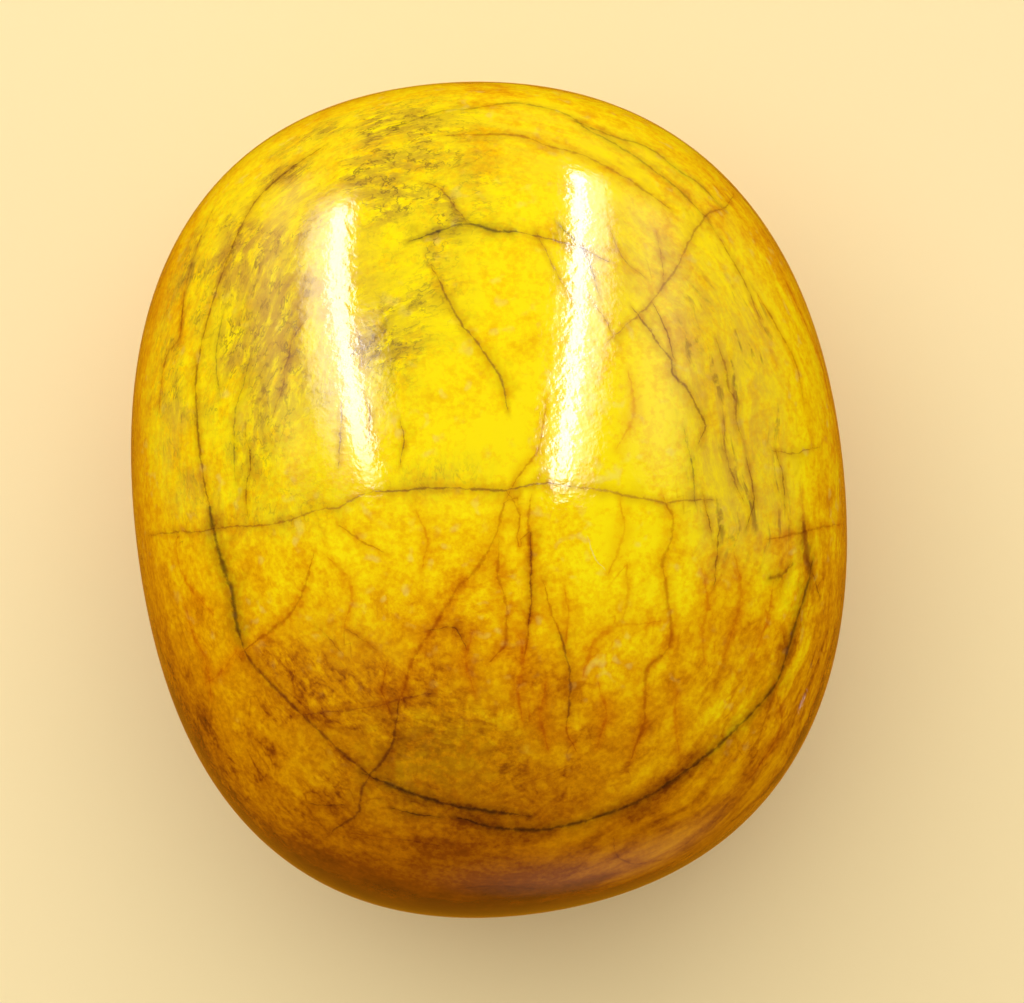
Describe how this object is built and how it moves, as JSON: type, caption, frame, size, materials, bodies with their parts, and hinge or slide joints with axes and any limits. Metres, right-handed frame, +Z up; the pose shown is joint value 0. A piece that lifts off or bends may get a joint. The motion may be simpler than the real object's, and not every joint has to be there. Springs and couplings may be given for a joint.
{
  "type": "oval beryl",
  "caption": "Polished oval stone of yellow beryl with dark hairline cracks, lying on a small flat spot on its back.",
  "frame": {"origin": "on the surface the stone rests on, under the middle of its box, on the small flat spot", "axes": "+Z up through the thickness, out of the front dome that the picture shows; +Y along the length, towards the end that is uppermost in the picture; +X across the width, to the picture's right"},
  "size_m": [0.0596, 0.07, 0.046],
  "materials": {
    "stone": "high polish, mottled yellow with orange staining and dark hairline cracks"
  },
  "bodies": {
    "root": {"stone": "stone"}
  },
  "joints": []
}
